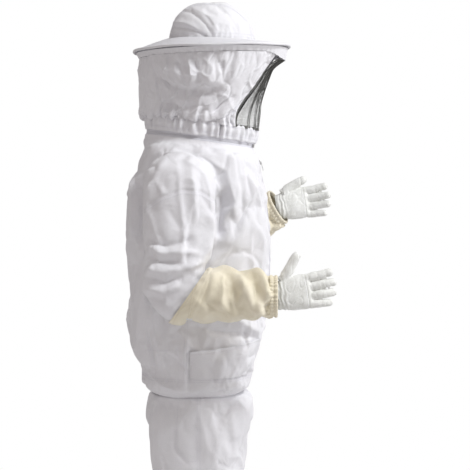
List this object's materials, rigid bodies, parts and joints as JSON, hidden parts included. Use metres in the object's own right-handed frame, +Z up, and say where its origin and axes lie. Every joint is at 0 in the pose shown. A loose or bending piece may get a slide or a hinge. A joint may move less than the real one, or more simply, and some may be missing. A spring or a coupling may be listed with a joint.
{
  "type": "beekeeping suit",
  "caption": "Worn-shape beekeeping suit: jacket with zip-on hat and net veil hood, gauntlet gloves and loose trousers.",
  "frame": {"origin": "centre of the neck opening, where the hood zips to the jacket's collar", "axes": "+Z up, -Y the way the wearer faces, -X the wearer's right side"},
  "size_m": [0.7762, 0.5849, 1.7549],
  "materials": {
    "white_cloth": "matt woven poly-cotton",
    "cream_canvas": "matt heavy canvas",
    "hide_leather": "soft grained goatskin",
    "elastic": "matt covered elastic",
    "zip_tape": "woven tape with moulded teeth",
    "black_net": "open black net",
    "zip_metal": "satin"
  },
  "bodies": {
    "jacket": {"jacket_back": "white_cloth", "jacket_front_right": "white_cloth", "jacket_front_left": "white_cloth", "front_pocket_right": "white_cloth", "front_pocket_left": "white_cloth", "armhole_facing_right": "white_cloth", "armhole_facing_left": "white_cloth", "hem_casing": "white_cloth", "hem_elastic": "elastic", "front_zip_tape_right": "zip_tape", "front_zip_tape_left": "zip_tape", "collar_zip_lower": "zip_tape"},
    "front_zip_slider": {"front_zip_slider": "zip_metal"},
    "front_zip_pull": {"front_zip_pull": "zip_metal"},
    "collar_slider_right": {"collar_zip_slider_right": "zip_metal"},
    "collar_slider_left": {"collar_zip_slider_left": "zip_metal"},
    "hood": {"hat_crown": "white_cloth", "hat_brim": "white_cloth", "brim_binding": "white_cloth", "veil_top_band": "white_cloth", "veil_fabric": "white_cloth", "veil_net": "black_net", "net_binding_right": "black_net", "net_binding_left": "black_net", "neck_casing": "white_cloth", "neck_elastic": "elastic", "collar_zip_upper": "zip_tape"},
    "trousers": {"waistband_casing": "white_cloth", "waist_elastic": "elastic", "trouser_seat": "white_cloth"},
    "sleeve_right": {"shoulder_cap_right": "white_cloth", "upper_sleeve_right": "white_cloth"},
    "forearm_right": {"forearm_sleeve_right": "white_cloth", "sleeve_cuff_right": "white_cloth", "elbow_gusset_right": "white_cloth"},
    "gauntlet_right": {"gauntlet_right": "cream_canvas", "gauntlet_wristband_right": "cream_canvas"},
    "hand_right": {"glove_palm_right": "hide_leather", "glove_thumb_right": "hide_leather"},
    "fingers_right": {"glove_fingers_right": "hide_leather"},
    "thigh_right": {"hip_gusset_right": "white_cloth", "thigh_right": "white_cloth"},
    "shin_right": {"knee_gusset_right": "white_cloth", "shin_right": "white_cloth", "ankle_cuff_right": "white_cloth"},
    "sleeve_left": {"shoulder_cap_left": "white_cloth", "upper_sleeve_left": "white_cloth"},
    "forearm_left": {"forearm_sleeve_left": "white_cloth", "sleeve_cuff_left": "white_cloth", "elbow_gusset_left": "white_cloth"},
    "gauntlet_left": {"gauntlet_left": "cream_canvas", "gauntlet_wristband_left": "cream_canvas"},
    "hand_left": {"glove_palm_left": "hide_leather", "glove_thumb_left": "hide_leather"},
    "fingers_left": {"glove_fingers_left": "hide_leather"},
    "thigh_left": {"hip_gusset_left": "white_cloth", "thigh_left": "white_cloth"},
    "shin_left": {"knee_gusset_left": "white_cloth", "shin_left": "white_cloth", "ankle_cuff_left": "white_cloth"}
  },
  "joints": [
    {"name": "hood_tip", "type": "hinge", "parent": "jacket", "child": "hood", "pos_m": [0, 0.1517, 0.0122], "axis": [-1, 0, 0], "range_deg": [0, 100]},
    {"name": "front_zip", "type": "hinge", "parent": "jacket", "child": "front_zip_slider", "pos_m": [0, 0.854, -0.33], "axis": [1, 0, 0], "range_deg": [0, 28]},
    {"name": "front_zip_pull_swing", "type": "hinge", "parent": "front_zip_slider", "child": "front_zip_pull", "pos_m": [0, -0.17068, -0.07141], "axis": [-1, 0, 0], "range_deg": [0, 120]},
    {"name": "collar_zip_right", "type": "hinge", "parent": "jacket", "child": "collar_slider_right", "pos_m": [0, 0, -0.008], "axis": [0, 0.1323, -0.9912], "range_deg": [0, 125]},
    {"name": "collar_zip_left", "type": "hinge", "parent": "jacket", "child": "collar_slider_left", "pos_m": [0, 0, -0.008], "axis": [0, -0.1323, 0.9912], "range_deg": [0, 125]},
    {"name": "trousers_pull_down", "type": "slide", "parent": "jacket", "child": "trousers", "axis": [0, 0, -1], "range_m": [0, 0.12]},
    {"name": "shoulder_right", "type": "hinge", "parent": "jacket", "child": "sleeve_right", "pos_m": [-0.1915, 0.05, -0.14], "axis": [-1, 0, 0], "range_deg": [-20, 60]},
    {"name": "shoulder_left", "type": "hinge", "parent": "jacket", "child": "sleeve_left", "pos_m": [0.1915, 0.05, -0.14], "axis": [-1, 0, 0], "range_deg": [-40, 20]},
    {"name": "elbow_right", "type": "hinge", "parent": "sleeve_right", "child": "forearm_right", "pos_m": [-0.275, 0.06, -0.428], "axis": [-1, 0, 0], "range_deg": [-80, 15], "deforming": ["elbow_gusset_right"]},
    {"name": "elbow_left", "type": "hinge", "parent": "sleeve_left", "child": "forearm_left", "pos_m": [0.405, -0.006, -0.336], "axis": [-0.6975, -0.1747, -0.6949], "range_deg": [-90, 5], "deforming": ["elbow_gusset_left"]},
    {"name": "wrist_right", "type": "hinge", "parent": "gauntlet_right", "child": "hand_right", "pos_m": [-0.275, -0.208, -0.428], "axis": [-1, 0, 0], "range_deg": [-30, 18]},
    {"name": "wrist_left", "type": "hinge", "parent": "gauntlet_left", "child": "hand_left", "pos_m": [0.33022, -0.22765, -0.20521], "axis": [-1, 0, 0], "range_deg": [-8, 35]},
    {"name": "fingers_curl_right", "type": "hinge", "parent": "hand_right", "child": "fingers_right", "pos_m": [-0.25655, -0.28481, -0.41443], "axis": [0, 0.174, 0.9848], "range_deg": [0, 60]},
    {"name": "fingers_curl_left", "type": "hinge", "parent": "hand_left", "child": "fingers_left", "pos_m": [0.3079, -0.30354, -0.19234], "axis": [-0.0084, -0.1648, -0.9863], "range_deg": [0, 60]},
    {"name": "glove_off_right", "type": "slide", "parent": "forearm_right", "child": "gauntlet_right", "axis": [0, -1, 0], "range_m": [0, 0.3]},
    {"name": "glove_off_left", "type": "slide", "parent": "forearm_left", "child": "gauntlet_left", "axis": [-0.279, -0.827, 0.488], "range_m": [0, 0.3]},
    {"name": "hip_right", "type": "hinge", "parent": "trousers", "child": "thigh_right", "pos_m": [-0.0925, 0, -0.7], "axis": [-1, 0, 0], "range_deg": [-15, 30], "deforming": ["hip_gusset_right"]},
    {"name": "knee_right", "type": "hinge", "parent": "thigh_right", "child": "shin_right", "pos_m": [-0.0925, 0.03, -1], "axis": [1, 0, 0], "range_deg": [0, 70], "deforming": ["knee_gusset_right"]},
    {"name": "hip_left", "type": "hinge", "parent": "trousers", "child": "thigh_left", "pos_m": [0.0925, 0, -0.7], "axis": [-1, 0, 0], "range_deg": [-15, 30], "deforming": ["hip_gusset_left"]},
    {"name": "knee_left", "type": "hinge", "parent": "thigh_left", "child": "shin_left", "pos_m": [0.0925, 0.03, -1], "axis": [1, 0, 0], "range_deg": [0, 70], "deforming": ["knee_gusset_left"]}
  ]
}
